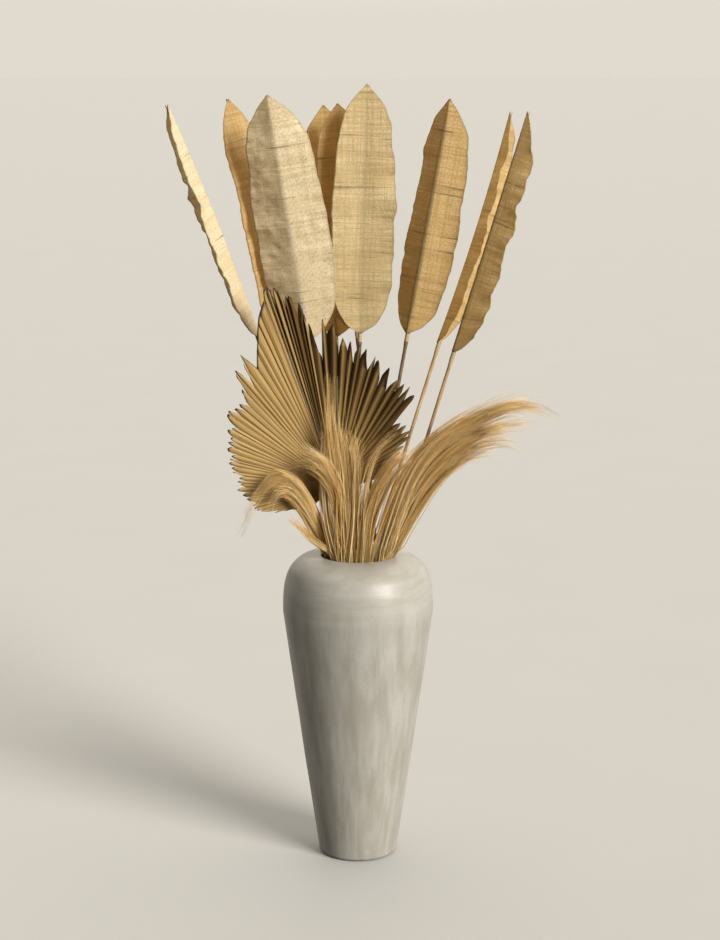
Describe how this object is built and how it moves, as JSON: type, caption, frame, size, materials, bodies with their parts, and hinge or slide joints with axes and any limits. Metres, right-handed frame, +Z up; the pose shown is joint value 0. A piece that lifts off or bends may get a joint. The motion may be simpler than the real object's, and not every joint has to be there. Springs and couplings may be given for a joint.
{
  "type": "vase of dried plants",
  "caption": "Tall tapered floor vase with a round shoulder, holding folded woven-fibre leaves on sticks, a pleated dried palm fan and tufts of golden dried grass.",
  "frame": {"origin": "centre of the vase's flat base, on the floor", "axes": "+Z up along the vase, +X to the right and +Y to the back as the bouquet faces its front"},
  "size_m": [0.7026, 0.3161, 1.4742],
  "materials": {
    "limewashed_ceramic": "limewashed, brushed, satin",
    "woven_fibre": "open plain weave with slubs, matt",
    "stick_wood": "dry bark, matt",
    "dried_palm": "dry, fibrous, dark cut tips",
    "dried_grass": "fine golden straw"
  },
  "bodies": {
    "root": {"vase": "limewashed_ceramic", "woven_leaf_1": "woven_fibre", "woven_leaf_2": "woven_fibre", "woven_leaf_3": "woven_fibre", "woven_leaf_4": "woven_fibre", "woven_leaf_5": "woven_fibre", "woven_leaf_6": "woven_fibre", "woven_leaf_7": "woven_fibre", "woven_leaf_8": "woven_fibre", "woven_leaf_9": "woven_fibre", "leaf_stick_1": "stick_wood", "leaf_stick_2": "stick_wood", "leaf_stick_3": "stick_wood", "leaf_stick_4": "stick_wood", "leaf_stick_5": "stick_wood", "leaf_stick_6": "stick_wood", "leaf_stick_7": "stick_wood", "leaf_stick_8": "stick_wood", "leaf_stick_9": "stick_wood", "palm_fan": "dried_palm", "palm_stem": "stick_wood", "grass_right": "dried_grass", "grass_centre": "dried_grass", "grass_left": "dried_grass", "grass_wisps": "dried_grass", "grass_inner": "dried_grass"}
  },
  "joints": []
}
